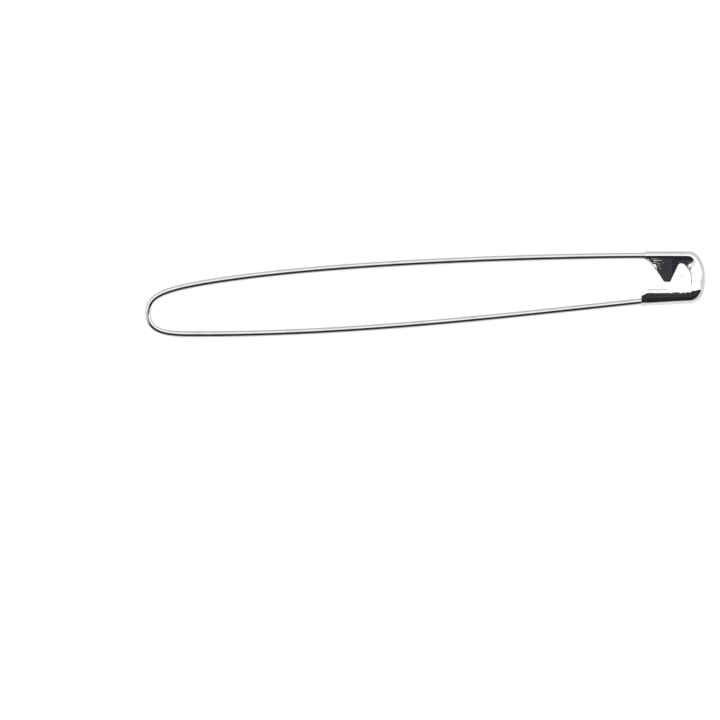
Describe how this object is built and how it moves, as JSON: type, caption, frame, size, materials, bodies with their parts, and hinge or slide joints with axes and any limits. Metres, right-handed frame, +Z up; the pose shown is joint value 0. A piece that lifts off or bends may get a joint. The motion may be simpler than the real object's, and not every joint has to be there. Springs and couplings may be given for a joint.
{
  "type": "stitch holder",
  "caption": "Long spring-wire stitch holder that closes like a safety pin into a pressed metal cap.",
  "frame": {"origin": "below the middle of the outline, level with the flat back of the cap", "axes": "+X along the holder towards the cap, +Y across the loop towards the fixed arm, +Z up out of the loop's plane, away from the cap's back"},
  "size_m": [0.165, 0.0252, 0.0037],
  "materials": {
    "plated_sheet": "bright nickel plate on pressed sheet",
    "plated_wire": "bright nickel plate on spring wire",
    "plated_bend": "bright nickel plate on spring wire",
    "polished_needle": "bright nickel plate, polished for stitches to slide on"
  },
  "bodies": {
    "holder": {"cap": "plated_sheet", "fixed_arm": "plated_wire", "spring_bend": "plated_bend"},
    "needle": {"needle_arm": "polished_needle"}
  },
  "joints": [
    {"name": "needle_opens", "type": "hinge", "parent": "holder", "child": "needle", "pos_m": [-0.06639, -0.01178, 0.0013], "axis": [0.9917, 0.0768, 0.1032], "range_deg": [0, 310]}
  ]
}
